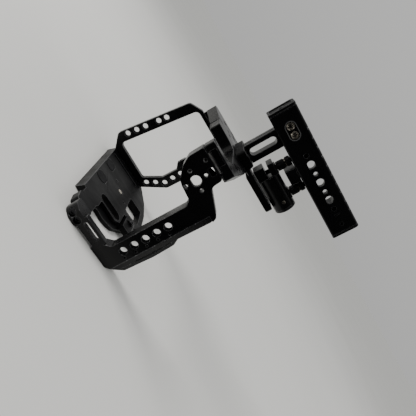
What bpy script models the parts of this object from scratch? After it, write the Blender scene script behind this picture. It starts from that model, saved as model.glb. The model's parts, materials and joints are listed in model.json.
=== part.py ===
"""Camera cage rig with a raised top handle, a rod clamp under it and its small fittings.

All driving dimensions are in millimetres. +X is the camera's left side, -Y is the lens side, +Z is up,
and the origin is under the bottom plate, below the camera bay.
"""

import bpy
import bmesh
from math import acos, cos, pi, sin, tan
from mathutils import Matrix, Vector

MM = 0.001
GAP = 0.3                # clearance between pieces that touch
SCREW_SIDES = 12
REACH = 1.0              # how far a cutter runs past a face

# Bottom plate
PLATE_T = 8.0            # thickness
PLATE_REAR = 34.0        # rear edge at the underside; the rear face leans in to 31 at the top
PLATE_REAR_TOP = 31.0
LEDGE_Z = 4.0            # top of the low ledge beside the battery door cut-out

# Side frames
FAR_IN, FAR_OUT = 81.0, 88.0
NEAR_OUT, NEAR_IN = -82.0, -70.0
NEAR_WALL = 2.7          # skin of the near frame between its rims
HOLE_WALL = 5.8          # the same beside its hole row
FRAME_HOLE_R = 3.175     # 1/4-20 accessory holes
HOLE_PITCH = 10.0
FAR_TOP = 107.7
NEAR_TOP = 113.7

# Top plate
TOP_Z = 122.0
TOP_T = 10.5
FOOT_Z = 108.0           # underside where the plate stands on the far frame
NEAR_LEDGE_Z = 114.0     # underside where the plate lies on the near frame

# Handle
HANDLE_NEAR, HANDLE_FAR = 6.0, 24.5
HANDLE_MID = (HANDLE_NEAR + HANDLE_FAR) / 2
HANDLE_LOW, HANDLE_HIGH = 161.9, 188.3
HANDLE_REAR, HANDLE_FRONT = -6.4, -132.8
CAP_T = 2.7
HANDLE_HOLE_Z = 175.2
HANDLE_WEB = 5.5         # web that the hole row goes through

# Riser and base under the handle
RISER_X = (12.0, 24.0)
RISER_Y = (-35.5, -17.9)
RISER_TOP = 181.0
BASE_Z = (TOP_Z + GAP, 130.8)
ARM_TOP = 126.0
ARM_FRONT = -82.5

# Rod clamp
CLAMP_Z = 136.8
CLAMP_R = 10.2
ROD_BORE_R = 7.6
CLAMP_Y = (-89.2, -53.2)
FORK_REAR = -42.2
FORK_SLIT = (136.8, 140.6)
BOSS_TOP = 147.6
POST_Y = (-50.0, -77.0)
POST_SEAT = 147.9
POST_TOP = 161.6
SET_Y, SET_Z = -80.0, 138.2

# Slide channel in the underside of the handle
CHANNEL_Y = (-112.0, -38.5)
CHANNEL_MOUTH_R = 3.3
CHANNEL_R = 5.2
CHANNEL_LIP_Z = 164.4
CHANNEL_TOP_Z = 168.4

AXES = {"X": (1, 2, 0), "Y": (0, 2, 1), "Z": (0, 1, 2)}


# ---------------------------------------------------------------- materials

def material(name, colour, roughness, metallic):
    mat = bpy.data.materials.new(name)
    mat.use_nodes = True
    shader = mat.node_tree.nodes["Principled BSDF"]
    shader.inputs["Base Color"].default_value = (*colour, 1.0)
    shader.inputs["Roughness"].default_value = roughness
    shader.inputs["Metallic"].default_value = metallic
    return mat


# ---------------------------------------------------------------- outlines

def rounded(corners, steps=4):
    """Outline from (u, v, radius) corners, each rounded by an arc."""
    points = []
    count = len(corners)
    for i, (u, v, radius) in enumerate(corners):
        here = Vector((u, v))
        if radius <= 0:
            points.append((u, v))
            continue
        before = Vector(corners[i - 1][:2]) - here
        after = Vector(corners[(i + 1) % count][:2]) - here
        reach = min(before.length, after.length) * 0.48
        before.normalize()
        after.normalize()
        half = acos(max(-1.0, min(1.0, before.dot(after)))) / 2
        if half > pi / 2 - 0.02:
            points.append((u, v))
            continue
        radius = min(radius, reach * tan(half))
        centre = here + (before + after).normalized() * radius / sin(half)
        start = here + before * radius / tan(half) - centre
        end = here + after * radius / tan(half) - centre
        turn = pi - 2 * half
        for k in range(steps + 1):
            share = k / steps
            spoke = (start * sin((1 - share) * turn) + end * sin(share * turn)) / sin(turn)
            points.append(tuple(centre + spoke))
    return points


def rectangle(u0, v0, u1, v1, radius=0.0, steps=4):
    return rounded([(u0, v0, radius), (u1, v0, radius), (u1, v1, radius), (u0, v1, radius)], steps)


def circle(u, v, radius, steps=16):
    angles = [2 * pi * k / steps for k in range(steps)]
    return [(u + radius * cos(angle), v + radius * sin(angle)) for angle in angles]


def d_hole(u, v, radius, flat, steps=18):
    """A circle with its lower side cut straight, flat below the middle."""
    return [(a, max(b, v - flat)) for a, b in circle(u, v, radius, steps)]


# ---------------------------------------------------------------- solids

def add_prism(bm, outline, axis, low, high):
    iu, iv, iw = AXES[axis]
    rings = []
    for level in (low, high):
        ring = []
        for u, v in outline:
            place = [0.0, 0.0, 0.0]
            place[iu], place[iv], place[iw] = u * MM, v * MM, level * MM
            ring.append(bm.verts.new(place))
        rings.append(ring)
    faces = [bm.faces.new(rings[0]), bm.faces.new(rings[1][::-1])]
    count = len(outline)
    for i in range(count):
        j = (i + 1) % count
        faces.append(bm.faces.new((rings[0][i], rings[1][i], rings[1][j], rings[0][j])))
    return faces


def add_turned(bm, profile, axis, centre, steps):
    """Solid of revolution from (radius, height) points, along an axis through centre."""
    iu, iv, iw = AXES[axis]
    rings = []
    closed = profile[0] == profile[-1]
    for radius, height in profile[:-1] if closed else profile:
        ring = []
        for k in range(1 if radius == 0 else steps):
            angle = 2 * pi * k / steps
            place = [0.0, 0.0, 0.0]
            place[iu] = (centre[iu] + radius * cos(angle)) * MM
            place[iv] = (centre[iv] + radius * sin(angle)) * MM
            place[iw] = height * MM
            ring.append(bm.verts.new(place))
        rings.append(ring)
    if closed:
        rings.append(rings[0])
    for lower, upper in zip(rings, rings[1:]):
        for k in range(steps):
            n = (k + 1) % steps
            quad = [lower[k % len(lower)], lower[n % len(lower)],
                    upper[n % len(upper)], upper[k % len(upper)]]
            corners = list(dict.fromkeys(quad))
            if len(corners) > 2:
                bm.faces.new(corners)


def finish(bm, name, mat=None, origin=(0, 0, 0)):
    """Turn a bmesh into an object with its origin at a point given in millimetres."""
    bmesh.ops.recalc_face_normals(bm, faces=bm.faces)
    place = Vector(origin) * MM
    bm.transform(Matrix.Translation(-place))
    mesh = bpy.data.meshes.new(name)
    bm.to_mesh(mesh)
    bm.free()
    obj = bpy.data.objects.new(name, mesh)
    obj.location = place
    bpy.context.scene.collection.objects.link(obj)
    if mat:
        mesh.materials.append(mat)
    return obj


def prism(name, mat, outline, axis, low, high, origin=(0, 0, 0)):
    bm = bmesh.new()
    add_prism(bm, outline, axis, low, high)
    return finish(bm, name, mat, origin)


def turned(name, mat, profile, axis, centre, steps=20):
    bm = bmesh.new()
    add_turned(bm, profile, axis, centre, steps)
    obj = finish(bm, name, mat, centre)
    obj.data.shade_smooth()
    obj.data.set_sharp_from_angle(angle=0.6)
    return obj


def boolean(obj, tool, operation):
    tool.hide_render = True
    tool.display_type = "WIRE"
    step = obj.modifiers.new(operation.lower(), "BOOLEAN")
    step.operation = operation
    step.object = tool
    return tool


def cut(obj, outlines, axis, low, high):
    """Cut prisms out of an object; outlines that overlap go in separate calls."""
    bm = bmesh.new()
    for outline in outlines:
        add_prism(bm, outline, axis, low, high)
    boolean(obj, finish(bm, obj.name + "_cut"), "DIFFERENCE")


def cut_turned(obj, profile, axis, centres, steps=SCREW_SIDES):
    bm = bmesh.new()
    for centre in centres:
        add_turned(bm, profile, axis, centre, steps)
    boolean(obj, finish(bm, obj.name + "_cut"), "DIFFERENCE")


def join(obj, outline, axis, low, high):
    bm = bmesh.new()
    add_prism(bm, outline, axis, low, high)
    boolean(obj, finish(bm, obj.name + "_add"), "UNION")


# ---------------------------------------------------------------- screws

def screw(name, mat, axis, centre, head_top, down, head_r=2.8, head_h=2.0, shank_r=1.5, length=10.0):
    """Socket screw; head_top is the head's outer end, and down is the way the shank runs (+1 or -1)."""
    socket_r, socket_depth = head_r * 0.5, head_h * 0.6
    profile = [(0, socket_depth), (socket_r, socket_depth), (socket_r, 0), (head_r, 0), (head_r, head_h),
               (shank_r, head_h), (shank_r, head_h + length), (0, head_h + length)]
    return turned(name, mat, [(r, head_top + down * h) for r, h in profile], axis, centre, SCREW_SIDES)


def screw_hole(obj, axis, centre, head_top, down, head_r=2.8, head_h=2.0, shank_r=1.5, length=10.0,
               sink=0.2):
    """The stepped hole that a screw of the same sizes sits in, its head sunk by sink."""
    mouth, seat, tip = -sink - REACH, head_h + GAP, head_h + length + GAP
    profile = [(0, mouth), (head_r + GAP, mouth), (head_r + GAP, seat), (shank_r + GAP, seat),
               (shank_r + GAP, tip), (0, tip)]
    cut_turned(obj, [(r, head_top + down * h) for r, h in profile], axis, [centre])


# ---------------------------------------------------------------- cage

def bottom_plate(mat):
    """Plate with a battery door cut-out on the near side and a window under the lens."""
    outline = rounded([
        (FAR_OUT, PLATE_REAR, 2), (-38, PLATE_REAR, 1), (-39.5, 28.5, 1), (-49, 28.5, 1), (-51, 30.5, 2),
        (-62, 29, 4), (-65.7, 25, 1), (-65.7, 12.5, 2), (-44, 12, 3), (-37.5, 9, 3), (-40, -1, 10),
        (-36, -13, 10), (-20, -24, 8), (-4, -33, 6), (10, -39, 4), (38, -37, 3), (62, -31, 6),
        (FAR_OUT, -18, 4)])
    plate = prism("bottom_plate", mat, outline, "Z", 0, PLATE_T)
    rear = [(PLATE_REAR, 0), (PLATE_REAR_TOP, PLATE_T), (PLATE_REAR_TOP - 0.4, PLATE_T + REACH),
            (PLATE_REAR + 4, PLATE_T + REACH), (PLATE_REAR + 4, -REACH), (PLATE_REAR + 0.4, -REACH)]
    cut(plate, [rear], "X", -51, FAR_OUT + 4)
    low_ledge = rounded([(-28, 10.5, 2), (-29.5, -9, 4), (-21, -18.5, 3), (-26, -26, 0), (-50, -26, 0),
                         (-50, 10.5, 0)])
    cut(plate, [low_ledge], "Z", LEDGE_Z, PLATE_T + REACH)
    window = rounded([(5.5, -14, 3), (37, -13.5, 3), (37, -31, 2), (8, -33, 2)])
    long_slot = rectangle(-26, -13, -14, 13.8, 6)
    pin_holes = [circle(32, 9, 1.2, 10), circle(14, -9, 1.2, 10)]
    cut(plate, [window, long_slot] + pin_holes, "Z", -REACH, PLATE_T + REACH)
    groove = rectangle(70, -12, 73.5, 28, 1.5, 3)
    cut(plate, [groove], "Z", PLATE_T - 3.0, PLATE_T + REACH)
    return plate


def far_side_frame(mat):
    """Closed loop with a leaning rear bar, a bent front bar and two rows of accessory holes."""
    outer = rounded([(-17, PLATE_T + GAP, 2), (31, PLATE_T + GAP, 1.5), (43.8, 20.6, 5), (32.6, 100.5, 5),
                     (19.3, FAR_TOP, 3), (-33, FAR_TOP, 4), (-33.1, 48.2, 8), (-32.5, 33.1, 6)])
    inner = rounded([(-9.2, 16, 3), (33.1, 17, 4), (21.5, 103.7, 5), (-12.4, 103.7, 3), (-12.4, 75.5, 1),
                     (-20.1, 72.5, 2), (-20.1, 51, 5), (-19.6, 34.4, 4)])
    frame = prism("left_side_frame", mat, outer, "X", FAR_IN, FAR_OUT)
    cut(frame, [inner], "X", FAR_IN - REACH, FAR_OUT + REACH)
    rear_row = [(38.1 - 1.4 * k, 28.7 + 9.9 * k) for k in range(3)] + [(33.1, 63.4), (31.9, 72.2)]
    front_row = [(-26.3, 33.5 + HOLE_PITCH * k) for k in range(3)] + [(-21.3, 24.9), (-16.3, 16.4)]
    holes = [circle(y, z, FRAME_HOLE_R) for y, z in rear_row + front_row]
    cut(frame, holes, "X", FAR_IN - REACH, FAR_OUT + REACH)
    return frame


def near_side_frame(mat):
    """Grip-side frame: a thin skin with deep rims, a rosette plate on top and a strap foot below."""
    outline = rounded([
        (-6.5, 0, 1), (-6.5, 8, 0), (-13.6, 15, 4), (-14, 80.3, 4), (-10.9, 84.7, 4), (1.2, 85.8, 5),
        (6.2, 87.3, 5), (13.4, 94.2, 5), (17.2, 101, 5), (17.6, NEAR_TOP, 1.5), (-10, NEAR_TOP, 3),
        (-10.8, 103.5, 5), (-32.9, 95, 4), (-35.1, 89, 4), (-34.2, 60.5, 3), (-37.6, 55, 5),
        (-38.6, 36.3, 10), (-36.9, 10, 3), (-25.5, 0, 3)])
    frame = prism("right_side_frame", mat, outline, "X", NEAR_OUT, NEAR_IN)
    join(frame, rectangle(-9, 2, 16, 13, 0), "X", NEAR_OUT, -76)
    lump = rounded([(-66, 28, 3), (-76, 28, 8), (NEAR_OUT, 22, 6), (NEAR_OUT, 13, 2), (-66, 13, 3)])
    join(frame, lump, "Z", 0, 11)
    slit = rectangle(-4.2, 7.1, 12.4, 10.4, 1.5, 3)
    cut(frame, [slit], "X", NEAR_OUT - REACH, -75)
    bar_pocket = rounded([(-25.6, 8, 0), (-25.6, 78, 0), (-31, 78, 4), (-31.5, 61, 3), (-34.5, 54, 3),
                          (-35.5, 36, 6), (-33.5, 12, 3), (-27, 6, 1)])
    top_pocket = rectangle(-4.4, 107.6, 10.8, 112.2, 1)
    rosette_pocket = circle(-0.9, 96.4, 10.4, 24)
    hole_pocket = rectangle(-26, 8, -17, 78, 2)
    cut(frame, [bar_pocket, top_pocket], "X", NEAR_OUT + NEAR_WALL, NEAR_IN + REACH)
    cut(frame, [rosette_pocket], "X", NEAR_OUT + 4.2, NEAR_IN + REACH)
    cut(frame, [hole_pocket], "X", NEAR_OUT + HOLE_WALL, NEAR_IN + REACH)
    chamfer = [(NEAR_OUT - 3, -26), (NEAR_OUT - 3, -42), (-75.5, -42), (-76.2, -38.8), (NEAR_OUT, -29)]
    cut(frame, [chamfer], "Z", -REACH, 91)
    bar_holes = [(-21, 20.5 + HOLE_PITCH * k) for k in range(5)]
    holes = [circle(y, z, FRAME_HOLE_R) for y, z in bar_holes]
    pins = [circle(-0.9 + 8.3 * cos(k * pi / 2), 96.4 + 8.3 * sin(k * pi / 2), 1.5, 12) for k in range(4)]
    windows = [rectangle(-4.0, 108, 2.2, 111.8, 0.6, 3), circle(8.8, 110, 1.5, 12),
               d_hole(-0.9, 96.4, 4.2, 3.4)]
    cut(frame, holes + pins + windows, "X", NEAR_OUT - REACH, NEAR_OUT + HOLE_WALL + REACH)
    locating_pins = [circle(y - 5.2, z - 2.0, 0.9, 10) for y, z in bar_holes]
    cut(frame, locating_pins, "X", NEAR_OUT - REACH, NEAR_OUT + 1.5)
    return frame


def top_plate(mat):
    """Plate with a deep notch for the eyepiece and shoe, and a strap slot at its far rear corner."""
    outline = rounded([
        (FAR_OUT, 15, 3), (79, 17.6, 1), (47, 9.5, 0.5), (22, 9.5, 2), (16, -16, 10), (-52, -10, 6),
        (-69.5, -3, 8), (-69.5, 17.5, 1), (-81, 17.5, 2), (-81, -12, 3), (-14, -33, 12), (18, -41, 8),
        (64, -41, 8), (FAR_OUT, -32, 5)])
    plate = prism("top_plate", mat, outline, "Z", FOOT_Z, TOP_Z)
    under = rectangle(-69.7, -45, FAR_IN - GAP, 20)
    cut(plate, [under], "Z", FOOT_Z - REACH, TOP_Z - TOP_T)
    cut(plate, [rectangle(-90, -45, -69.6, 20)], "Z", FOOT_Z - REACH, NEAR_LEDGE_Z)
    cut(plate, [rectangle(-90, -5.3, -76.5, 12.5)], "Z", FOOT_Z, NEAR_LEDGE_Z + 1.6)
    cut(plate, [rectangle(-90, -0.7, -79.6, 12.5)], "Z", FOOT_Z, NEAR_LEDGE_Z + 6.4)
    strap_slot = rounded([(44.6, 12, 0), (44.6, 3, 1.2), (49, 3, 1.2), (74, 11.8, 1.2), (73, 14, 0.8),
                          (48.4, 7.2, 0.5), (47.2, 12, 0)])
    cut(plate, [strap_slot], "Z", FOOT_Z - REACH, TOP_Z - 1.6)
    cut(plate, [rectangle(44.6, 3.5, 47.2, 12)], "Z", TOP_Z - 2, TOP_Z + REACH)
    tapped = [circle(x, y, FRAME_HOLE_R) for x, y in ((72, -2), (72, -20), (-26, -23.5), (-44, -17.5))]
    top_holes = tapped + [circle(58, -8, 2.2, 12), circle(46, -10, 2.2, 12)]
    cut(plate, top_holes, "Z", FOOT_Z - REACH, TOP_Z + REACH)
    return plate


def cage_screws(steel, plates):
    """Socket screws that hold the plates and side frames together."""
    bottom, far, near, top = plates
    for label, y in (("front", -8.0), ("rear", 24.0)):
        centre, size = (84.5, y, 0), {"length": 12.0}
        for piece in (bottom, far):
            screw_hole(piece, "Z", centre, 0.4, 1, **size)
        screw("far_foot_screw_" + label, steel, "Z", centre, 0.4, 1, **size)
    for label, y in (("front", 16.6), ("rear", 23.4)):
        centre, size, depth = (0, y, 4.6), {"length": 21.0}, 3.2
        for piece in (near, bottom):
            screw_hole(piece, "X", centre, NEAR_OUT + depth, 1, sink=4.0, **size)
        screw("near_foot_screw_" + label, steel, "X", centre, NEAR_OUT + depth, 1, **size)
    for label, y in (("front", -28.0), ("rear", -18.0)):
        centre, size = (84.5, y, 0), {"length": 20.0}
        for piece in (top, far):
            screw_hole(piece, "Z", centre, TOP_Z - 0.4, -1, **size)
        screw("far_top_screw_" + label, steel, "Z", centre, TOP_Z - 0.4, -1, **size)
    for label, y in (("front", -7.4), ("rear", 14.0)):
        centre, size = (-75.3, y, 0), {"length": 12.8}
        for piece in (top, near):
            screw_hole(piece, "Z", centre, TOP_Z - 0.4, -1, **size)
        screw("near_top_screw_" + label, steel, "Z", centre, TOP_Z - 0.4, -1, **size)


def base_pads(rubber, plate):
    """Two rubber pads let into the top of the bottom plate."""
    for name, x0, y0, x1, y1 in (("outer_pad", 34, 18.5, 51, 29.5), ("inner_pad", -3, 17.5, 13, 29.5)):
        recess = rectangle(x0 - GAP, y0 - GAP, x1 + GAP, y1 + GAP, 5)
        cut(plate, [recess], "Z", PLATE_T - 1.0, PLATE_T + REACH)
        prism(name, rubber, rectangle(x0, y0, x1, y1, 4.7), "Z", PLATE_T - 0.7, PLATE_T + 0.3)


def camera_screw(steel, nylon, plate):
    """Captive 1/4-20 camera screw and its washer, in a stepped hole from below."""
    x, y = 23.0, 0.0
    head_r, shank_r, recess = 6.5, 3.1, 5.6
    cut_turned(plate, [(0, -REACH), (head_r + GAP, -REACH), (head_r + GAP, recess), (shank_r + GAP, recess),
                       (shank_r + GAP, PLATE_T + REACH), (0, PLATE_T + REACH)], "Z", [(x, y, 0)], 24)
    slot_half = 0.8
    head = turned("camera_screw", steel, [
        (0, 0.3), (head_r - 0.4, 0.3), (head_r, 0.7), (head_r, 2.3), (shank_r, 2.3), (shank_r, 7.0),
        (shank_r - 0.7, 7.7), (0, 7.7)], "Z", (x, y, 0), 24)
    cut(head, [rectangle(x - head_r - 1, y - slot_half, x + head_r + 1, y + slot_half)], "Z", -REACH, 1.3)
    turned("camera_screw_washer", nylon, [(shank_r + 0.3, 2.6), (head_r - 0.5, 2.6), (head_r - 0.5, 3.1),
                                          (shank_r + 0.3, 3.1), (shank_r + 0.3, 2.6)], "Z", (x, y, 0), 24)


def lens_support(mat, steel, plate):
    """Adapter support block that slides fore and aft in a pocket, held by a screw in its slot."""
    low, top = 4.9, 10.6
    screw_x, screw_y = -12.0, -23.5
    pocket = rounded([(-2.6, -15.2, 1), (-2.6, -44, 0), (-40, -44, 0), (-40, -24, 0), (-28.4, -15.2, 1)])
    cut(plate, [pocket], "Z", low - GAP, PLATE_T + REACH)
    outline = rounded([(-3.2, -17.2, 1.5), (-3.2, -29, 2), (-10, -33.5, 2), (-24, -32.5, 3), (-27.6, -27, 3),
                       (-27.6, -17.2, 1.5)])
    block = prism("lens_support", mat, outline, "Z", low, top)
    cut(block, [rectangle(screw_x - 1.8, screw_y - 3.4, screw_x + 1.8, screw_y + 4.4, 1.8, 5)], "Z", 0, 20)
    wedge = [(-36, 8.6), (-36, 13), (-25, 13), (-31, 8.2)]
    cut(block, [wedge], "X", -40, 5)
    size = {"length": 8.2}
    cut(plate, [circle(screw_x, screw_y, 1.8, 12)], "Z", 2, low + REACH)
    screw("lens_support_screw", steel, "Z", (screw_x, screw_y, 0), top + GAP + 2.0, -1, **size)


def cable_clamp(mat, steel, frame):
    """Small block on the front bar that holds a plug's cable, with its screw."""
    low, high = 52.6, 71.0
    y0, y1 = -20.1 + GAP, -14.2
    side = rounded([(y0, low, 0.3), (y1, low + 4.6, 1), (y1, high, 1), (y0, high, 0.3)])
    block = prism("cable_clamp", mat, side, "X", FAR_IN, FAR_OUT)
    cut(block, [circle(y1 + 1.0, 67.4, 1.9, 12)], "X", FAR_IN - REACH, FAR_OUT + REACH)
    centre = (84.5, 0, 60.5)
    size = {"head_r": 2.6, "length": 9.0}
    for piece in (block, frame):
        screw_hole(piece, "Y", centre, y1 - 0.3, -1, **size)
    screw("cable_clamp_screw", steel, "Y", centre, y1 - 0.3, -1, **size)


# ---------------------------------------------------------------- handle

def handle_base(mat, steel, top):
    """Block bolted to the top plate behind and beside the front arm."""
    outline = rounded([(-1, -18, 6), (40, -18, 1), (40, -36.3, 3), (24.6, -36.3, 0.5), (24.6, -24.7, 0.5),
                       (-1, -24.7, 1)])
    base = prism("handle_base", mat, outline, "Z", *BASE_Z)
    for label, y in (("front", -31.5), ("rear", -22.5)):
        centre, size = (32.4, y, 0), {"length": 14.0}
        for piece in (base, top):
            screw_hole(piece, "Z", centre, BASE_Z[1] - 0.4, -1, **size)
        screw("base_screw_" + label, steel, "Z", centre, BASE_Z[1] - 0.4, -1, **size)
    return base


def front_arm(mat):
    """Arm that starts under the riser and reaches forward below the rod clamp."""
    low = BASE_Z[0]
    side = rounded([(-25, low, 0), (-25, BASE_Z[1], 0.8), (-36.2, BASE_Z[1], 1.5), (-37.4, ARM_TOP, 1.5),
                    (ARM_FRONT, ARM_TOP, 2.2), (ARM_FRONT, low - 2.8, 2.2), (-42.2, low - 2.8, 0.4),
                    (-41.8, low, 0)])
    arm = prism("front_arm", mat, side, "X", 4.5, 24.3)
    round_end = rounded([(4.5, -70, 0), (4.5, ARM_FRONT, 6), (24.3, ARM_FRONT, 6), (24.3, -70, 0),
                         (30, -70, 0), (30, -95, 0), (0, -95, 0), (0, -70, 0)])
    cut(arm, [round_end], "Z", low - 5, ARM_TOP + 5)
    cut(arm, [rectangle(11, -76, 17.8, -45, 3.2)], "Z", low - 5, ARM_TOP + 5)
    return arm


def riser(mat):
    """Upright plate with a long vertical slot, between the base and the handle."""
    bar = prism("riser", mat, rectangle(RISER_X[0], RISER_Y[0], RISER_X[1], RISER_Y[1], 0.8, 2), "Z",
                BASE_Z[1] + GAP, RISER_TOP)
    cut(bar, [rectangle(-29.8, 133.2, -22.4, 159.6, 3.7, 6)], "X", RISER_X[0] - REACH, RISER_X[1] + REACH)
    cut(bar, [rectangle(16.4, BASE_Z[1] - REACH, 18.0, 160.5)], "Y", RISER_Y[1] - 0.9, RISER_Y[1] + REACH)
    return bar


def riser_bolts(steel, base, arm, bar):
    for label, piece, y, shank in (("rear", base, -20.1, 1.2), ("front", arm, -32.6, 1.5)):
        centre, size = (18.0, y, 0), {"head_r": 2.4, "head_h": 1.8, "shank_r": shank, "length": 14.0}
        for part in (piece, bar):
            screw_hole(part, "Z", centre, BASE_Z[0] + 0.5, 1, **size)
        screw("riser_bolt_" + label, steel, "Z", centre, BASE_Z[0] + 0.5, 1, **size)


def handle_body(mat):
    """Hollowed handle bar with a hole row, a riser seat and a slide channel underneath."""
    section = rounded([(HANDLE_NEAR, HANDLE_LOW, 2.0), (HANDLE_FAR, HANDLE_LOW, 2.0),
                       (HANDLE_FAR, HANDLE_HIGH, 3.5), (HANDLE_NEAR, HANDLE_HIGH, 3.5)])
    body = prism("handle_body", mat, section, "Y", HANDLE_FRONT, HANDLE_REAR)
    seat = rectangle(RISER_Y[0] - GAP, HANDLE_LOW - REACH, RISER_Y[1] + GAP, RISER_TOP + GAP)
    cut(body, [seat], "X", RISER_X[0] - GAP, HANDLE_FAR + REACH)
    pocket_x = HANDLE_NEAR + HANDLE_WEB
    cut(body, [rectangle(-104.6, 170.2, -55.4, 180.4, 4)], "X", pocket_x, HANDLE_FAR + REACH)
    cut(body, [rectangle(-34.6, 169.9, -16.6, 179.9, 4.9, 8)], "X", HANDLE_NEAR - REACH, HANDLE_NEAR + 2.0)
    large = [d_hole(-60.9 - 19.0 * k, HANDLE_HOLE_Z, 3.8, 2.9) for k in range(3)]
    small = [circle(-51.4 - 19.2 * k, HANDLE_HOLE_Z, 2.1, 12) for k in range(4)]
    cut(body, large + small, "X", HANDLE_NEAR - REACH, pocket_x + REACH)
    far_end = [rectangle(-115.6, 173.2, -114.8, 177.2), circle(-125.7, HANDLE_HOLE_Z, 1.6, 12)]
    cut(body, far_end, "X", HANDLE_NEAR - REACH, HANDLE_NEAR + 3)
    mouth = rectangle(HANDLE_MID - CHANNEL_MOUTH_R, CHANNEL_Y[0], HANDLE_MID + CHANNEL_MOUTH_R,
                      CHANNEL_Y[1])
    cut(body, [mouth], "Z", HANDLE_LOW - REACH, CHANNEL_LIP_Z + 0.5)
    chamber = rectangle(HANDLE_MID - CHANNEL_R, CHANNEL_Y[0], HANDLE_MID + CHANNEL_R, CHANNEL_Y[1])
    cut(body, [chamber], "Z", CHANNEL_LIP_Z, CHANNEL_TOP_Z)
    starts = [-30.8 - 9.6 * k for k in range(10)]
    notches = [rectangle(y, HANDLE_HIGH - 1.2, y + 0.9, HANDLE_HIGH + REACH) for y in starts]
    cut(body, notches, "X", HANDLE_NEAR - REACH, HANDLE_FAR + REACH)
    return body


def handle_caps(mat, steel, body):
    """End caps, each held by one screw along the handle."""
    section = rounded([(HANDLE_NEAR, HANDLE_LOW, 2.0), (HANDLE_FAR, HANDLE_LOW, 2.0),
                       (HANDLE_FAR, HANDLE_HIGH, 3.5), (HANDLE_NEAR, HANDLE_HIGH, 3.5)])
    recess = rectangle(HANDLE_NEAR + 2.2, HANDLE_LOW + 2.4, HANDLE_FAR - 2.2, HANDLE_HIGH - 2.6, 1.6)
    for label, face, way in (("rear", HANDLE_REAR, 1), ("front", HANDLE_FRONT, -1)):
        inner, outer = face + way * GAP, face + way * (GAP + CAP_T)
        low, high = sorted((inner, outer))
        cap = prism("handle_cap_" + label, mat, section, "Y", low, high)
        floor = outer - way * 1.0
        cut(cap, [recess], "Y", *sorted((floor, outer + way * REACH)))
        size = {"head_r": 2.2, "head_h": 0.9, "shank_r": 1.1, "length": 6.0}
        centre = (HANDLE_MID, 0, HANDLE_HOLE_Z)
        for piece in (cap, body):
            screw_hole(piece, "Y", centre, floor + way * 0.5, -way, **size)
        screw("handle_cap_screw_" + label, steel, "Y", centre, floor + way * 0.5, -way, **size)


def handle_screws(steel, body, bar):
    """The two screws that fix the handle to the riser, side by side in an oval counterbore."""
    for label, y in (("rear", -21.2), ("front", -30.2)):
        centre, size = (0, y, 174.9), {"head_r": 3.9, "head_h": 1.5, "shank_r": 2.0, "length": 11.0}
        head_top = HANDLE_NEAR + 0.3
        shank = [(0, head_top + 1.5), (2.3, head_top + 1.5), (2.3, head_top + 13), (0, head_top + 13)]
        for piece in (body, bar):
            cut_turned(piece, shank, "X", [centre])
        screw("handle_screw_" + label, steel, "X", centre, head_top, 1, **size)


# ---------------------------------------------------------------- rod clamp

def clamp_body(mat):
    """Round clamp for a 15 mm rod, with a split fork at its rear and two posts' seats on top."""
    mid = (HANDLE_MID, 0, CLAMP_Z)
    rim, mouth, bore_end = 0.9, 0.5, -57.0
    front, rear = CLAMP_Y
    bm = bmesh.new()
    add_turned(bm, [(0, rear), (CLAMP_R, rear), (CLAMP_R, front + rim), (CLAMP_R - rim, front),
                    (ROD_BORE_R + mouth, front), (ROD_BORE_R, front + mouth), (ROD_BORE_R, bore_end),
                    (0, bore_end)],
               "Y", mid, 28)
    clamp = finish(bm, "rod_clamp", mat)
    half = 8.2
    join(clamp, rectangle(HANDLE_MID - half, CLAMP_Z - 9.6, HANDLE_MID + half, CLAMP_Z + 9.6, 1.5), "Y",
         CLAMP_Y[1] - 1, FORK_REAR)
    for y in POST_Y:
        boss = rectangle(HANDLE_MID - 5, y - 4.8, HANDLE_MID + 5, y + 4.8, 1)
        join(clamp, boss, "Z", CLAMP_Z + 9.0, BOSS_TOP)
    slit = rectangle(CLAMP_Y[1] - 0.6, FORK_SLIT[0], FORK_REAR + REACH, FORK_SLIT[1])
    cut(clamp, [slit], "X", HANDLE_MID - 12, HANDLE_MID + 12)
    cut(clamp, [circle(HANDLE_MID, POST_Y[0], 2.3 + GAP)], "Z", CLAMP_Z - 12, BOSS_TOP + REACH)
    cut(clamp, [circle(HANDLE_MID, POST_Y[1], 2.3 + GAP)], "Z", 145.3, BOSS_TOP + REACH)
    cut(clamp, [circle(SET_Y, SET_Z, 1.5 + GAP, 12)], "X", HANDLE_MID - 12, HANDLE_MID)
    return clamp


def clamp_posts(steel, clamp):
    """Knurled thumb screws that hang the clamp from nuts in the handle's channel."""
    grip = [(2.3, POST_SEAT), (4.6, POST_SEAT), (4.6, 155.4), (4.0, 155.9), (4.0, 157.0), (4.8, 157.5),
            (4.8, 160.9), (4.2, POST_TOP), (2.3, POST_TOP), (2.3, 167.9), (0, 167.9)]
    for label, y, low in (("rear", POST_Y[0], CLAMP_Z - 8.6), ("front", POST_Y[1], 145.6)):
        profile = [(0, low), (2.3, low)] + grip
        turned("thumb_screw_" + label, steel, profile, "Z", (HANDLE_MID, y, 0), 20)


def channel_nuts(steel):
    for label, y in (("rear", POST_Y[0]), ("front", POST_Y[1])):
        outline = rectangle(HANDLE_MID - 4.8, y - 5, HANDLE_MID + 4.8, y + 5, 0.8, 2)
        nut = prism("channel_nut_" + label, steel, outline, "Z", CHANNEL_LIP_Z + GAP, CHANNEL_TOP_Z - GAP)
        cut(nut, [circle(HANDLE_MID, y, 2.3 + GAP)], "Z", CHANNEL_LIP_Z - REACH, CHANNEL_TOP_Z + REACH)


def slide_block(mat):
    """Guide block between the posts, with a tongue in the handle's channel."""
    block = prism("slide_block", mat, rectangle(HANDLE_MID - 8, -70.6, HANDLE_MID + 8, -56.4, 0.8, 2), "Z",
                  151.7, POST_TOP)
    join(block, rectangle(HANDLE_MID - 3, -69, HANDLE_MID + 3, -58), "Z", 160, 167.6)
    return block


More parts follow.
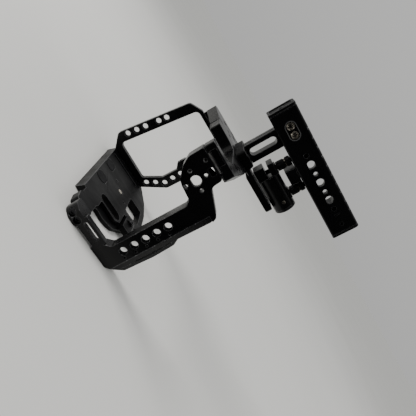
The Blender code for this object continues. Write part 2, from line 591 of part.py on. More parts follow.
def set_screw(steel):
    """Grub screw in the side of the clamp that stops a rod from turning."""
    x0 = HANDLE_MID - CLAMP_R
    profile = [(0, x0 + 0.9), (0.75, x0 + 0.9), (0.75, x0 + 0.1), (1.3, x0 + 0.1), (1.5, x0 + 0.3),
               (1.5, x0 + 1.4), (0, x0 + 1.4)]
    turned("rod_set_screw", steel, profile, "X", (0, SET_Y, SET_Z), 12)


# ---------------------------------------------------------------- assembly

def build():
    for obj in list(bpy.data.objects):
        bpy.data.objects.remove(obj, do_unlink=True)
    black = material("black_anodised", (0.018, 0.018, 0.021), 0.38, 0.6)
    dark = material("dark_anodised", (0.03, 0.03, 0.034), 0.45, 0.5)
    steel = material("black_oxide_steel", (0.05, 0.05, 0.052), 0.35, 0.9)
    bright = material("stainless_steel", (0.62, 0.58, 0.5), 0.28, 1.0)
    rubber = material("rubber", (0.03, 0.03, 0.032), 0.8, 0.0)
    nylon = material("nylon", (0.05, 0.05, 0.05), 0.5, 0.0)
    plates = (bottom_plate(dark), far_side_frame(black), near_side_frame(black), top_plate(black))
    cage_screws(steel, plates)
    base_pads(rubber, plates[0])
    camera_screw(bright, nylon, plates[0])
    lens_support(black, steel, plates[0])
    cable_clamp(black, steel, plates[1])
    base = handle_base(black, steel, plates[3])
    arm = front_arm(black)
    upright = riser(black)
    riser_bolts(steel, base, arm, upright)
    body = handle_body(black)
    handle_caps(dark, steel, body)
    handle_screws(bright, body, upright)
    clamp = clamp_body(black)
    clamp_posts(steel, clamp)
    channel_nuts(steel)
    slide_block(dark)
    set_screw(bright)


build()
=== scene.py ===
import json
from math import acos, cos, pi, radians, sin, tan

import bmesh
import bpy
from mathutils import Matrix, Vector


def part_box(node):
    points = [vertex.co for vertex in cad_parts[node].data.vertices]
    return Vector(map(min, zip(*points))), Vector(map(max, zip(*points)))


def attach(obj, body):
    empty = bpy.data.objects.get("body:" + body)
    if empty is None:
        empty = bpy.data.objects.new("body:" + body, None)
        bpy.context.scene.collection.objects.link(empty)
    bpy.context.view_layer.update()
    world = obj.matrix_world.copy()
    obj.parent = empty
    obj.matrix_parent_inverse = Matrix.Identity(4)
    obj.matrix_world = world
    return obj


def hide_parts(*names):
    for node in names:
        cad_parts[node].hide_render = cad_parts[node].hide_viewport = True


MM = 0.001
CAGE = "cage"
CARRIAGE = "clamp_carriage"
AXES = {"X": (1, 2, 0), "Y": (0, 2, 1), "Z": (0, 1, 2)}
SMOOTH_ANGLE = radians(32)
CORNER_ANGLE = radians(28)
SHORTEST_EDGE = 0.2
BARE_METAL = (0.42, 0.42, 0.43)
SKY = 0.49
SKY_RISE = 1.47
HANDLE_SCREW_Y = (-21.2, -30.2)
HANDLE_SCREW_Z = 174.9
THUMB_SCREW_Y = {"rear": -50.0, "front": -77.0}
SET_SCREW_YZ = (-80.0, 138.2)
ROD_Z = 136.8
CLAMP_BOSS_TOP = 147.6


# ---------------------------------------------------------------- camera, floor and light

def make_camera():
    """Camera on the grip side, a little above the top plate, rolled so that the rig lies over."""
    yaw, pitch, roll = radians(-17.53), radians(-11.29), radians(61.69)
    ahead = Vector((cos(pitch) * cos(yaw), cos(pitch) * sin(yaw), sin(pitch)))
    level = ahead.cross(Vector((0, 0, 1))).normalized()
    upright = level.cross(ahead)
    across = level * cos(roll) + upright * sin(roll)
    above = upright * cos(roll) - level * sin(roll)
    data = bpy.data.cameras.new("camera")
    data.sensor_width = 36.0
    data.lens = 41.27
    data.clip_end = 60.0
    camera = bpy.data.objects.new("camera", data)
    bpy.context.scene.collection.objects.link(camera)
    turn = Matrix((across, above, -ahead)).transposed().to_4x4()
    camera.matrix_world = Matrix.Translation(Vector((-405.3, 79.4, 161.3)) * MM) @ turn
    bpy.context.scene.camera = camera


def area_light(name, place, target, size, power, colour=(1, 1, 1)):
    data = bpy.data.lights.new(name, "AREA")
    data.shape = "DISK"
    data.size = size
    data.energy = power
    data.color = colour
    light = bpy.data.objects.new(name, data)
    light.location = place
    light.rotation_euler = (Vector(target) - Vector(place)).to_track_quat("-Z", "Y").to_euler()
    bpy.context.scene.collection.objects.link(light)


def add_flag(name, place, turn, half):
    """Dark card that only shows in reflections, upright and turned about Z from facing the grip."""
    bm = bmesh.new()
    bmesh.ops.create_grid(bm, x_segments=1, y_segments=1, size=half)
    flag = finish(bm, name, [flag_material()])
    spin = Matrix.Rotation(radians(turn), 4, "Z") @ Matrix.Rotation(radians(90), 4, "Y")
    flag.matrix_world = Matrix.Translation(place) @ spin
    flag.visible_camera = flag.visible_diffuse = flag.visible_shadow = False


def make_studio():
    """Pale floor and sky, two soft lights, and dark flags on the grip side and in front.

    The key stands behind the camera bay, so that the rear faces catch it.
    """
    world = bpy.data.worlds.new("studio")
    world.use_nodes = True
    tree = world.node_tree
    back = tree.nodes["Background"]
    back.inputs["Color"].default_value = (1.0, 1.0, 0.985, 1)
    direction = tree.nodes.new("ShaderNodeTexCoord").outputs["Generated"]
    split = tree.nodes.new("ShaderNodeSeparateXYZ")
    rise = tree.nodes.new("ShaderNodeMapRange")
    rise.inputs["To Min"].default_value = SKY
    rise.inputs["To Max"].default_value = SKY * SKY_RISE
    tree.links.new(direction, split.inputs["Vector"])
    tree.links.new(split.outputs["Z"], rise.inputs["Value"])
    tree.links.new(rise.outputs["Result"], back.inputs["Strength"])
    bpy.context.scene.world = world
    bm = bmesh.new()
    bmesh.ops.create_circle(bm, cap_ends=True, segments=96, radius=60.0)
    floor = finish(bm, "floor", [floor_material()])
    add_flag("grip_flag", (-0.128, -0.08, 0.24), 0, 0.36)
    add_flag("front_flag", (-0.11, -0.33, 0.2), 62, 0.26)
    centre = (0.0, -0.02, 0.09)
    area_light("key", (0.35, 1.15, 0.95), centre, 0.8, 16, (1.0, 0.985, 0.96))
    area_light("fill", (-0.2, -1.2, 0.9), centre, 0.8, 3)


# ---------------------------------------------------------------- materials

class Nodes:
    """Short hand for building a material's node tree."""

    def __init__(self, name):
        self.material = bpy.data.materials.new(name)
        self.material.use_nodes = True
        self.tree = self.material.node_tree
        self.shader = self.tree.nodes["Principled BSDF"]
        self.place = self.tree.nodes.new("ShaderNodeTexCoord").outputs["Object"]

    def set(self, **values):
        for name, value in values.items():
            self.shader.inputs[name.replace("_", " ")].default_value = value

    def link(self, source, socket):
        self.tree.links.new(source, socket)

    def noise(self, scale, detail=3.0, stretch=None, rough=0.55):
        node = self.tree.nodes.new("ShaderNodeTexNoise")
        node.inputs["Scale"].default_value = scale
        node.inputs["Detail"].default_value = detail
        node.inputs["Roughness"].default_value = rough
        source = self.place
        if stretch:
            mapping = self.tree.nodes.new("ShaderNodeMapping")
            mapping.inputs["Scale"].default_value = stretch
            self.link(source, mapping.inputs["Vector"])
            source = mapping.outputs["Vector"]
        self.link(source, node.inputs["Vector"])
        return node.outputs["Fac"]

    def span(self, value, low, high, to_low, to_high):
        node = self.tree.nodes.new("ShaderNodeMapRange")
        limits = {"From Min": low, "From Max": high, "To Min": to_low, "To Max": to_high}
        for key, number in limits.items():
            node.inputs[key].default_value = number
        self.link(value, node.inputs["Value"])
        return node.outputs["Result"]

    def ramp(self, value, stops):
        node = self.tree.nodes.new("ShaderNodeValToRGB")
        band = node.color_ramp
        while len(band.elements) < len(stops):
            band.elements.new(0.5)
        for element, (place, colour) in zip(band.elements, stops):
            element.position = place
            element.color = (*colour, 1)
        self.link(value, node.inputs["Fac"])
        return node.outputs["Color"]

    def multiply(self, a, b):
        node = self.tree.nodes.new("ShaderNodeMath")
        node.operation = "MULTIPLY"
        self.link(a, node.inputs[0])
        self.link(b, node.inputs[1])
        return node.outputs["Value"]

    def bump(self, heights, distance):
        """Chain of bumps from (height, strength) pairs, over a distance in metres."""
        normal = None
        for height, strength in heights:
            node = self.tree.nodes.new("ShaderNodeBump")
            node.inputs["Strength"].default_value = strength
            node.inputs["Distance"].default_value = distance
            self.link(height, node.inputs["Height"])
            if normal:
                self.link(normal, node.inputs["Normal"])
            normal = node.outputs["Normal"]
        self.link(normal, self.shader.inputs["Normal"])


def tint(colour, factor):
    return tuple(min(1.0, channel * factor) for channel in colour)


def flag_material():
    m = Nodes("flag")
    m.set(Base_Color=(0.01, 0.01, 0.01, 1), Roughness=1.0, Specular_IOR_Level=0.0)
    return m.material


def floor_material():
    m = Nodes("floor")
    colour = m.ramp(m.noise(3.0, 4.0), [(0.3, (0.745, 0.745, 0.725)), (0.7, (0.775, 0.775, 0.755))])
    m.link(colour, m.shader.inputs["Base Color"])
    m.set(Roughness=1.0, Specular_IOR_Level=0.0)
    m.bump([(m.noise(220.0, 4.0), 0.12)], 0.0004)
    return m.material


def anodised(name, colour, rough, level=0.32):
    """Bead-blasted anodised aluminium: fine grain, cloudy sheen and faint handling marks."""
    m = Nodes(name)
    cloud = m.noise(22.0, 4.0)
    shades = m.ramp(cloud, [(0.3, tint(colour, 0.78)), (0.7, tint(colour, 1.3))])
    m.link(shades, m.shader.inputs["Base Color"])
    smudge = m.noise(60.0, 5.0, stretch=(1.0, 0.35, 1.6), rough=0.7)
    blast = m.noise(2600.0, 2.0)
    m.link(m.span(smudge, 0.32, 0.68, rough - 0.06, rough + 0.12), m.shader.inputs["Roughness"])
    m.set(Metallic=0.0, IOR=1.4, Specular_IOR_Level=level)
    m.bump([(blast, 0.35), (m.noise(420.0, 3.0), 0.12)], 0.00006)
    return m.material


def worn_edge(name, colour):
    """Edge break of an anodised part, rubbed lighter with small bare flecks."""
    m = Nodes(name)
    flecks = m.noise(900.0, 4.0, rough=0.7)
    patches = m.noise(55.0, 3.0)
    wear = m.multiply(m.span(flecks, 0.56, 0.66, 0.0, 1.0), m.span(patches, 0.48, 0.62, 0.0, 1.0))
    shades = m.ramp(wear, [(0.0, tint(colour, 1.7)), (1.0, BARE_METAL)])
    m.link(shades, m.shader.inputs["Base Color"])
    m.link(m.span(wear, 0.0, 1.0, 0.0, 0.9), m.shader.inputs["Metallic"])
    m.link(m.span(m.noise(300.0), 0.3, 0.7, 0.27, 0.42), m.shader.inputs["Roughness"])
    m.set(IOR=1.5)
    m.bump([(flecks, 0.25)], 0.00005)
    return m.material


def steel(name, colour, rough, metallic=1.0):
    """Machined steel with turning marks, stains and small dents."""
    m = Nodes(name)
    stain = m.noise(180.0, 4.0, rough=0.65)
    shades = m.ramp(stain, [(0.3, tint(colour, 0.66)), (0.72, tint(colour, 1.18))])
    m.link(shades, m.shader.inputs["Base Color"])
    turning = m.noise(700.0, 3.0, stretch=(1.0, 1.0, 14.0))
    m.link(m.span(turning, 0.3, 0.7, rough - 0.07, rough + 0.12), m.shader.inputs["Roughness"])
    m.set(Metallic=metallic)
    m.bump([(turning, 0.3), (m.noise(1500.0, 2.0), 0.15)], 0.00005)
    return m.material


def rubber(name, colour):
    m = Nodes(name)
    m.link(m.ramp(m.noise(90.0, 4.0), [(0.3, tint(colour, 0.75)), (0.7, tint(colour, 1.35))]),
           m.shader.inputs["Base Color"])
    m.link(m.span(m.noise(400.0), 0.3, 0.7, 0.62, 0.8), m.shader.inputs["Roughness"])
    m.set(Specular_IOR_Level=0.12)
    m.bump([(m.noise(1800.0, 3.0), 0.5), (m.noise(300.0, 2.0), 0.2)], 0.0001)
    return m.material


# ---------------------------------------------------------------- solids

def rounded(corners, steps=8):
    """Outline from (u, v, radius) corners, each rounded by an arc."""
    points = []
    count = len(corners)
    for i, (u, v, radius) in enumerate(corners):
        here = Vector((u, v))
        if radius <= 0:
            points.append((u, v))
            continue
        before = Vector(corners[i - 1][:2]) - here
        after = Vector(corners[(i + 1) % count][:2]) - here
        reach = min(before.length, after.length) * 0.48
        before.normalize()
        after.normalize()
        half = acos(max(-1.0, min(1.0, before.dot(after)))) / 2
        radius = min(radius, reach * tan(half))
        centre = here + (before + after).normalized() * radius / sin(half)
        start = here + before * radius / tan(half) - centre
        end = here + after * radius / tan(half) - centre
        turn = pi - 2 * half
        for k in range(steps + 1):
            share = k / steps
            spoke = (start * sin((1 - share) * turn) + end * sin(share * turn)) / sin(turn)
            points.append(tuple(centre + spoke))
    return points


def rectangle(u0, v0, u1, v1, radius=0.0, steps=8):
    return rounded([(u0, v0, radius), (u1, v0, radius), (u1, v1, radius), (u0, v1, radius)], steps)


def circle(u, v, radius):
    steps = 48
    angles = [2 * pi * k / steps for k in range(steps)]
    return [(u + radius * cos(angle), v + radius * sin(angle)) for angle in angles]


def place_on(axis, u, v, w):
    iu, iv, iw = AXES[axis]
    point = [0.0, 0.0, 0.0]
    point[iu], point[iv], point[iw] = u * MM, v * MM, w * MM
    return point


def bridge(bm, rings, steps, closed=False):
    """Faces between neighbouring rings; a ring may be one point."""
    pairs = list(zip(rings, rings[1:]))
    if closed:
        pairs.append((rings[-1], rings[0]))
    for lower, upper in pairs:
        for k in range(steps):
            n = (k + 1) % steps
            quad = [ring[j % len(ring)] for ring, j in ((lower, k), (lower, n), (upper, n), (upper, k))]
            corners = list(dict.fromkeys(quad))
            if len(corners) > 2:
                bm.faces.new(corners)


def add_prism(bm, outline, axis, low, high):
    rings = [[bm.verts.new(place_on(axis, u, v, level)) for u, v in outline] for level in (low, high)]
    bm.faces.new(rings[0])
    bm.faces.new(rings[1][::-1])
    bridge(bm, rings, len(outline))


def add_turned(bm, profile, axis, centre, steps=64, shape=None, closed=False):
    """Solid of revolution from (radius, height) points in mm.

    shape(radius, height, angle) can vary the radius.
    """
    iu, iv, _ = AXES[axis]
    rings = []
    for radius, height in profile:
        ring = []
        for k in range(1 if radius == 0 else steps):
            angle = 2 * pi * k / steps
            reach = shape(radius, height, angle) if shape and radius else radius
            ring.append(bm.verts.new(place_on(axis, centre[iu] + reach * cos(angle),
                                              centre[iv] + reach * sin(angle), height)))
        rings.append(ring)
    bridge(bm, rings, steps, closed)


def finish(bm, name, materials):
    bmesh.ops.recalc_face_normals(bm, faces=bm.faces)
    mesh = bpy.data.meshes.new(name)
    bm.to_mesh(mesh)
    bm.free()
    for material in materials:
        mesh.materials.append(material)
    mesh.shade_smooth()
    mesh.set_sharp_from_angle(angle=SMOOTH_ANGLE)
    obj = bpy.data.objects.new(name, mesh)
    bpy.context.scene.collection.objects.link(obj)
    return obj


def shape_with(obj, outline, axis, low, high, operation="DIFFERENCE"):
    """Cut a prism out of an object, or join one to it."""
    bm = bmesh.new()
    add_prism(bm, outline, axis, low, high)
    combine(obj, finish(bm, obj.name + "_tool", []), operation)


def bake(obj):
    """Replace an object's mesh with the result of its modifiers."""
    bpy.context.view_layer.update()
    evaluated = obj.evaluated_get(bpy.context.evaluated_depsgraph_get())
    mesh = bpy.data.meshes.new_from_object(evaluated)
    obj.modifiers.clear()
    obj.data = mesh


def combine(obj, tool, operation="DIFFERENCE"):
    step = obj.modifiers.new("step", "BOOLEAN")
    step.operation = operation
    step.object = tool
    bake(obj)
    bpy.data.objects.remove(tool)


def even_shading(obj):
    """Flat faces shade flat right up to their rounded edges."""
    obj.data.shade_smooth()
    obj.data.set_sharp_from_angle(angle=SMOOTH_ANGLE)
    step = obj.modifiers.new("normals", "WEIGHTED_NORMAL")
    step.keep_sharp = True
    step.weight = 50
    bake(obj)


def edge_break(obj, width):
    """Round the outward edges by a small width, in the object's second material."""
    bm = bmesh.new()
    bm.from_mesh(obj.data)
    bmesh.ops.remove_doubles(bm, verts=bm.verts, dist=3e-6)
    bmesh.ops.dissolve_limit(bm, angle_limit=radians(0.4), verts=bm.verts, edges=bm.edges,
                             delimit={"NORMAL"})
    sharp = [e for e in bm.edges if len(e.link_faces) == 2 and e.is_convex
             and e.calc_face_angle(0) > CORNER_ANGLE and e.calc_length() > SHORTEST_EDGE * MM]
    if sharp:
        bmesh.ops.bevel(bm, geom=sharp, offset=width * MM, offset_type="OFFSET", segments=2,
                        profile=0.5, affect="EDGES", clamp_overlap=False, material=1,
                        harden_normals=False)
    bmesh.ops.remove_doubles(bm, verts=bm.verts, dist=2e-6)
    bm.to_mesh(obj.data)
    bm.free()
    even_shading(obj)


def adopt(obj, body, slot, *nodes):
    """The piece rides on a body and may stand for CAD nodes; the slot argument is not used."""
    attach(obj, body)
    if nodes:
        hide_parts(*nodes)
    return obj


def broken_copy(node, width, materials):
    """A copy of a CAD node's own shape, ready for an edge break and small details."""
    mesh = frame["nodes"][node].data.copy()
    mesh.materials.clear()
    for material in materials:
        mesh.materials.append(material)
    mesh.polygons.foreach_set("material_index", [0] * len(mesh.polygons))
    obj = bpy.data.objects.new(node + "_shell", mesh)
    bpy.context.scene.collection.objects.link(obj)
    edge_break(obj, width)
    return obj


# ---------------------------------------------------------------- threads and screws

def thread_rings(name, centres, axis, low, high, material):
    """Rings of 1/4-20 thread inside a row of holes of the cage."""
    radius, pitch, depth = 3.175, 1.27, 0.32
    bm = bmesh.new()
    turns = max(1, round((high - low) / pitch))
    step = (high - low) / turns
    for u, v in centres:
        centre = [0.0, 0.0, 0.0]
        iu, iv, _ = AXES[axis]
        centre[iu], centre[iv] = u, v
        profile = [(radius + 0.18, low), (radius + 0.18, high)]
        for k in range(turns):
            top = high - k * step
            profile += [(radius - 0.02, top), (radius - depth, top - step / 2)]
        profile.append((radius - 0.02, low))
        add_turned(bm, profile, axis, centre, 32, closed=True)
    adopt(finish(bm, name, [material]), CAGE, "black_anodised")


def measure_screw(node):
    """Axis, centre, head end, and the radii and lengths of a CAD screw, all in mm."""
    low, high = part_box(node)
    spans = list((high - low) / MM)
    odd = min(range(3), key=lambda i: abs(spans[(i + 1) % 3] - spans[(i + 2) % 3]))
    axis = "XYZ"[odd]
    iu, iv, iw = AXES[axis]
    centre = (low + high) / 2 / MM
    points = [v.co / MM for v in frame["nodes"][node].data.vertices]
    reach = [((p[iu] - centre[iu]) ** 2 + (p[iv] - centre[iv]) ** 2) ** 0.5 for p in points]
    head_r = max(reach)
    rim = [p[iw] for p, r in zip(points, reach) if r > head_r - 0.05]
    start, end = low[iw] / MM, high[iw] / MM
    down = 1 if sum(rim) / len(rim) < (start + end) / 2 else -1
    top, tip = (start, end) if down > 0 else (end, start)
    head_h = max(abs(w - top) for w in rim)
    shank_r = max(r for p, r in zip(points, reach) if abs(p[iw] - tip) < 0.05)
    return axis, centre, top, down, head_r, head_h, shank_r, abs(tip - top)


def six_sides(flat):
    """Radius of a hexagon of that half width at an angle."""
    return lambda angle: flat / cos((angle + pi / 6) % (pi / 3) - pi / 6)


def socket_screw(node, body, slot, material, dome=False):
    """Detailed cap screw in place of a CAD one: hex socket, knurled or domed head, threaded shank."""
    axis, centre, top, down, head_r, head_h, shank_r, length = measure_screw(node)
    flat, steps = head_r * 0.5, 72
    hexagon = six_sides(flat)
    depth = min(head_h * 0.62, 1.6)
    crown = 0.45 if dome else 0.22

    def shape(radius, height, angle):
        if radius <= flat * 1.001:
            return hexagon(angle) * radius / flat
        knurled = not dome and abs(radius - head_r) < 1e-6
        return radius * (1 - 0.012 * (cos(36 * angle) < 0)) if knurled else radius

    profile = [(0, depth + 0.25), (flat * 0.98, depth), (flat, 0.18), (flat * 1.12, 0.0)]
    if dome:
        slopes = (radians(60), radians(78), radians(90))
        rise = [(head_r * sin(a), crown * head_h * (1 - cos(a)) * 1.5) for a in slopes]
        profile += [(head_r * 0.7, 0.02)] + rise
    else:
        profile += [(head_r - crown, 0.0), (head_r - 0.05, crown * 0.7), (head_r, crown)]
    profile += [(head_r, head_h - 0.12), (head_r - 0.12, head_h), (shank_r, head_h)]
    pitch = 0.5 if shank_r < 1.8 else 0.8
    along = head_h + 0.4
    while along + pitch < length - 0.3:
        profile += [(shank_r * 0.86, along), (shank_r, along + pitch / 2)]
        along += pitch
    profile += [(shank_r * 0.8, length), (0, length)]
    bm = bmesh.new()
    add_turned(bm, [(r, top + down * h) for r, h in profile], axis, centre, steps, shape)
    adopt(finish(bm, node + "_detail", [material]), body, slot, node)


def camera_screw(material):
    """Captive camera screw: slotted, knurled head under the plate, threaded tip."""
    low, high = (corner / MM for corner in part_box("camera_screw"))
    centre = (low + high) / 2
    head_r, shank_r = (high.x - low.x) / 2, 3.1
    base, tip = low.z, high.z

    def shape(radius, height, angle):
        return radius * (1 - 0.02 * (cos(60 * angle) < 0)) if abs(radius - head_r) < 1e-6 else radius

    profile = [(0, base), (head_r - 0.5, base), (head_r, base + 0.4), (head_r, base + 1.7),
               (head_r - 0.3, base + 2.0), (shank_r, base + 2.0)]
    along = base + 2.4
    while along + 1.27 < tip - 0.3:
        profile += [(shank_r - 0.45, along), (shank_r, along + 0.63)]
        along += 1.27
    profile += [(shank_r - 0.6, tip), (0, tip)]
    bm = bmesh.new()
    add_turned(bm, profile, "Z", centre, 120, shape)
    screw = finish(bm, "camera_screw_detail", [material])
    slot = rectangle(centre.x - 9, centre.y - 0.8, centre.x + 9, centre.y + 0.8)
    shape_with(screw, slot, "Z", base - 2, base + 1.0)
    adopt(screw, "camera_screw", "stainless", "camera_screw")


def thumb_screw(label, material, ring_material):
    """Post with a knurled grip, a necked collar and a threaded end."""
    node = "thumb_screw_" + label
    low, high = (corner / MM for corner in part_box(node))
    x, y = (low.x + high.x) / 2, THUMB_SCREW_Y[label]
    grip_low, grip_high, top = 147.9, 155.4, 161.6

    def shape(radius, height, angle):
        if grip_low + 0.5 < height < grip_high - 0.4 and radius > 4.5:
            return radius - 0.16 * (0.5 + 0.5 * cos(30 * angle))
        return radius

    profile = [(0, low.z)]
    along = low.z + 0.3
    while along + 0.8 < grip_low - 0.2:
        profile += [(1.95, along), (2.3, along + 0.4)]
        along += 0.8
    profile += [(2.3, grip_low), (4.3, grip_low), (4.6, grip_low + 0.35)]
    profile += [(4.6, grip_low + 0.6 + 0.85 * k) for k in range(8)]
    profile += [(4.6, grip_high - 0.35), (4.3, grip_high), (3.9, grip_high + 0.4), (3.9, 157.0),
                (4.5, 157.3), (4.75, 157.6), (4.75, 160.7), (4.5, 161.0), (4.2, 161.2),
                (4.1, top), (2.3, top), (2.3, high.z), (0, high.z)]
    bm = bmesh.new()
    add_turned(bm, profile, "Z", (x, y, 0), 120, shape)
    adopt(finish(bm, node + "_detail", [material]), node, "black_steel", node)
    bm = bmesh.new()
    ring = [(3.8, 155.95), (4.12, 156.05), (4.12, 156.75), (3.8, 156.85)]
    add_turned(bm, ring, "Z", (x, y, 0), 64, closed=True)
    adopt(finish(bm, node + "_ring", [ring_material]), node, "stainless")


def set_screw(material):
    """Grub screw with a hex socket, in the side of the clamp."""
    low, high = (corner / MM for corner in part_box("rod_set_screw"))
    centre = (low + high) / 2
    flat = 0.75
    hexagon = six_sides(flat)

    def shape(radius, height, angle):
        return hexagon(angle) * radius / flat if radius < 0.8 else radius

    profile = [(0, low.x + 0.9), (0.74, low.x + 0.8), (0.75, low.x + 0.1), (0.95, low.x), (1.3, low.x),
               (1.5, low.x + 0.2), (1.5, high.x), (0, high.x)]
    bm = bmesh.new()
    add_turned(bm, profile, "X", centre, 48, shape)
    screw = finish(bm, "rod_set_screw_detail", [material])
    adopt(screw, "rod_set_screw", "stainless", "rod_set_screw")


def rod_clamp(skin, edge):
    """Bored cylinder with a split fork at the rear and a flat boss under each thumb screw."""
    x, z, radius, bore = 15.25, ROD_Z, 10.2, 7.6
    front, rear, fork_rear, bore_end = -89.2, -53.2, -42.2, -57.0
    bm = bmesh.new()
    profile = [(0, rear), (radius, rear), (radius, front + 2.6), (radius - 0.25, front + 2.4),
               (radius - 0.25, front + 1.8), (radius, front + 1.6), (radius, front + 0.8),
               (radius - 0.3, front + 0.3), (radius - 0.8, front), (bore + 0.6, front),
               (bore + 0.15, front + 0.25), (bore, front + 0.6), (bore, bore_end), (0, bore_end)]
    add_turned(bm, profile, "Y", (x, 0, z), 96)
    clamp = finish(bm, "rod_clamp_shell", [skin, edge])
    fork = rectangle(x - 8.2, z - 9.6, x + 8.2, z + 9.6, 1.5)
    shape_with(clamp, fork, "Y", rear - 1, fork_rear, "UNION")
    for y in THUMB_SCREW_Y.values():
        boss = rectangle(x - 5, y - 4.8, x + 5, y + 4.8, 1.4)
        shape_with(clamp, boss, "Z", z + 9, CLAMP_BOSS_TOP, "UNION")
    shape_with(clamp, rectangle(rear - 0.6, z, fork_rear + 1, z + 3.8), "X", x - 14, x + 14)
    shape_with(clamp, circle(x, THUMB_SCREW_Y["rear"], 2.6), "Z", z - 14, 150)
    shape_with(clamp, circle(x, THUMB_SCREW_Y["front"], 2.6), "Z", 145.3, 150)
    shape_with(clamp, circle(*SET_SCREW_YZ, 1.8), "X", x - 14, x)
    edge_break(clamp, 0.35)
    adopt(clamp, CARRIAGE, "black_anodised", "rod_clamp")


# ---------------------------------------------------------------- cage

def plates(black, dark, matte, edge_black, edge_dark):
    """The cage's frames and plates with broken edges."""
    shells = (("bottom_plate", 0.45, dark, edge_dark, "dark_anodised"),
              ("left_side_frame", 0.5, black, edge_black, "black_anodised"),
              ("right_side_frame", 0.45, black, edge_black, "black_anodised"),
              ("top_plate", 0.5, black, edge_black, "black_anodised"),
              ("cable_clamp", 0.3, black, edge_black, "black_anodised"),
              ("handle_base", 0.45, matte, edge_black, "black_anodised"),
              ("front_arm", 0.5, black, edge_black, "black_anodised"),
              ("riser", 0.4, black, edge_black, "black_anodised"),
              ("handle_body", 0.5, black, edge_black, "black_anodised"),
              ("handle_cap_front", 0.4, dark, edge_dark, "dark_anodised"),
              ("handle_cap_rear", 0.4, dark, edge_dark, "dark_anodised"))
    for node, width, skin, edge, slot in shells:
        adopt(broken_copy(node, width, [skin, edge]), CAGE, slot, node)


def tapped_holes(thread):
    """Threads in the accessory holes of both side frames and the top plate."""
    near = [(-21, 20.5 + 10 * k) for k in range(5)]
    thread_rings("right_frame_threads", near, "X", -81.4, -76.4, thread)
    rear = [(38.1 - 1.4 * k, 28.7 + 9.9 * k) for k in range(3)] + [(33.1, 63.4), (31.9, 72.2)]
    front = [(-26.3, 33.5 + 10 * k) for k in range(3)] + [(-21.3, 24.9), (-16.3, 16.4)]
    thread_rings("left_frame_threads", rear + front, "X", 81.6, 87.4, thread)
    top = [(72, -2), (72, -20), (-26, -23.5), (-44, -17.5)]
    thread_rings("top_plate_threads", top, "Z", 112.2, 121.4, thread)


def counterbore(plate_material, lip_material):
    """Oval washer under the handle's two screws, and the lip of the counterbore they sit in."""
    y0, z0, y1, z1 = -34.6, 169.9, -16.6, 179.9
    bm = bmesh.new()
    add_prism(bm, rectangle(y0 + 0.5, z0 + 0.5, y1 - 0.5, z1 - 0.5, 4.4, 16), "X", 7.35, 7.9)
    washer = finish(bm, "handle_screw_washer", [plate_material, plate_material])
    for y in HANDLE_SCREW_Y:
        shape_with(washer, circle(y, HANDLE_SCREW_Z, 4.05), "X", 5, 9)
    edge_break(washer, 0.12)
    adopt(washer, CAGE, "black_steel")
    bm = bmesh.new()
    add_prism(bm, rectangle(y0 - 0.15, z0 - 0.15, y1 + 0.15, z1 + 0.15, 5.0, 16), "X", 5.96, 6.7)
    lip = finish(bm, "counterbore_lip", [lip_material, lip_material])
    shape_with(lip, rectangle(y0 + 0.4, z0 + 0.4, y1 - 0.4, z1 - 0.4, 4.5, 16), "X", 5, 8)
    edge_break(lip, 0.12)
    adopt(lip, CAGE, "black_anodised")


def strap_bar(material):
    """Chamfered steel strip on the ledge of the strap recess, at the top of the grip-side frame."""
    bm = bmesh.new()
    section = [(-81.7, 113.8), (-81.7, 114.05), (-80.2, 115.45), (-77.0, 115.45), (-77.0, 113.8)]
    add_prism(bm, section, "Y", -5.0, 12.2)
    bar = finish(bm, "strap_bar", [material, material])
    edge_break(bar, 0.15)
    adopt(bar, CAGE, "black_steel")


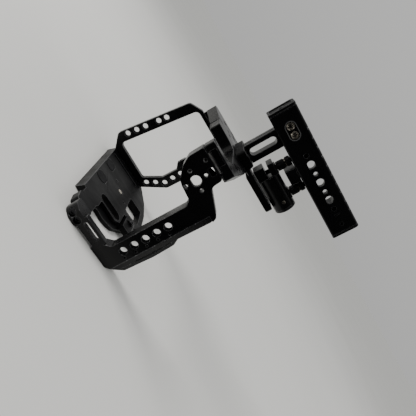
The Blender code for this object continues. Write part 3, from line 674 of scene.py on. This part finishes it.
def main():
    black = anodised("black_anodised", (0.0022, 0.0022, 0.0026), 0.27)
    dark = anodised("dark_anodised", (0.003, 0.003, 0.0034), 0.4, level=0.2)
    matte = anodised("matte_anodised", (0.002, 0.002, 0.0024), 0.46, level=0.15)
    edge_black = worn_edge("black_edge", (0.008, 0.008, 0.009))
    edge_dark = worn_edge("dark_edge", (0.016, 0.016, 0.017))
    lip = worn_edge("rubbed_edge", (0.05, 0.05, 0.05))
    oxide = steel("black_oxide", (0.03, 0.03, 0.032), 0.3, 0.9)
    bright = steel("stainless", (0.66, 0.61, 0.52), 0.24)
    satin = steel("satin_steel", (0.42, 0.41, 0.4), 0.36)
    thread = steel("cut_thread", (0.07, 0.07, 0.075), 0.35)
    pad = rubber("pad_rubber", (0.012, 0.012, 0.013))
    nylon = rubber("nylon", (0.03, 0.03, 0.03))
    plates(black, dark, matte, edge_black, edge_dark)
    support = broken_copy("lens_support", 0.35, [matte, edge_black])
    adopt(support, "lens_support", "black_anodised", "lens_support")
    block = broken_copy("slide_block", 0.35, [black, edge_black])
    adopt(block, CARRIAGE, "black_anodised", "slide_block")
    for label in ("front", "rear"):
        node = "channel_nut_" + label
        adopt(broken_copy(node, 0.25, [oxide, oxide]), CARRIAGE, "black_steel", node)
    for node in ("inner_pad", "outer_pad"):
        adopt(broken_copy(node, 0.25, [pad, pad]), CAGE, "rubber", node)
    washer = broken_copy("camera_screw_washer", 0.1, [nylon, nylon])
    adopt(washer, "camera_screw_carrier", "nylon", "camera_screw_washer")
    tapped_holes(thread)
    counterbore(oxide, lip)
    strap_bar(satin)
    for node, body in NODE_BODY.items():
        if node.startswith("handle_screw"):
            socket_screw(node, body, "stainless", bright, dome=True)
        elif "_screw_" in node and not node.startswith(("thumb", "camera", "rod")) or "_bolt_" in node:
            socket_screw(node, body, "black_steel", oxide)
    socket_screw("lens_support_screw", "lens_support_screw", "black_steel", oxide)
    socket_screw("cable_clamp_screw", "cable_clamp_screw", "black_steel", oxide)
    camera_screw(bright)
    set_screw(bright)
    rod_clamp(black, edge_black)
    thumb_screw("rear", oxide, bright)
    thumb_screw("front", oxide, bright)


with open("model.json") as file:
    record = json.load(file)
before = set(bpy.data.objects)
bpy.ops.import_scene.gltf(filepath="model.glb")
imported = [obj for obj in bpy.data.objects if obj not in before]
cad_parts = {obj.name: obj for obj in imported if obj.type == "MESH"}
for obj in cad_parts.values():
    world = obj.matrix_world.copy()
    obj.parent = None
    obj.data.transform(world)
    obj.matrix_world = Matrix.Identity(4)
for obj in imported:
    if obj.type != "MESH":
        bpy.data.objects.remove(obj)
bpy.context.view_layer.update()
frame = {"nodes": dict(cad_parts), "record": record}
BODIES = frame["record"]["behaviour"]["bodies"]
NODE_BODY = {node: body for body, nodes in BODIES.items() for node in nodes}
make_camera()
make_studio()
main()
